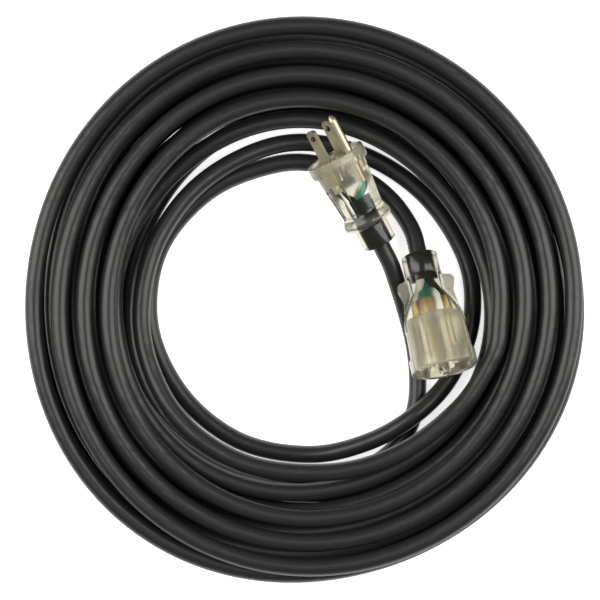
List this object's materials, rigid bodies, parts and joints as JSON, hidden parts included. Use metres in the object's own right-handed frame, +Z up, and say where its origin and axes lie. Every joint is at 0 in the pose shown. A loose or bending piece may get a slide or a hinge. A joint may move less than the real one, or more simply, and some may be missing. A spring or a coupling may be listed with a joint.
{
  "type": "extension cord",
  "caption": "Black round three-wire extension cord wound into a flat hank, with a clear moulded grounded plug and a clear moulded connector showing their wires and contacts.",
  "frame": {"origin": "on the floor, under the middle of the hank's bounding box", "axes": "+Z up out of the lying hank, +Y from the hank's middle towards the plug's prongs, +X towards the side where the connector lies"},
  "size_m": [0.2908, 0.296, 0.0491],
  "materials": {
    "jacket_black": "satin",
    "clear_pvc": "clear",
    "inner_moulding": "satin",
    "blade_metal": "plain",
    "contact_brass": "plain",
    "strand_copper": "plain",
    "wire_green": "satin",
    "wire_white": "satin",
    "wire_black": "satin"
  },
  "bodies": {
    "root": {"cord_coil": "jacket_black", "plug_lead": "jacket_black", "connector_lead": "jacket_black", "plug_body": "clear_pvc", "plug_bridge": "inner_moulding", "plug_jacket_end": "jacket_black", "line_blade": "blade_metal", "neutral_blade": "blade_metal", "ground_pin": "blade_metal", "plug_line_wire": "wire_black", "plug_neutral_wire": "wire_white", "plug_ground_wire": "wire_green", "plug_copper_strands": "strand_copper", "connector_body": "clear_pvc", "contact_block": "inner_moulding", "connector_jacket_end": "jacket_black", "line_contact": "contact_brass", "neutral_contact": "contact_brass", "ground_contact": "contact_brass", "connector_line_wire": "wire_black", "connector_neutral_wire": "wire_white", "connector_ground_wire": "wire_green", "connector_copper_strands": "strand_copper"}
  },
  "joints": []
}
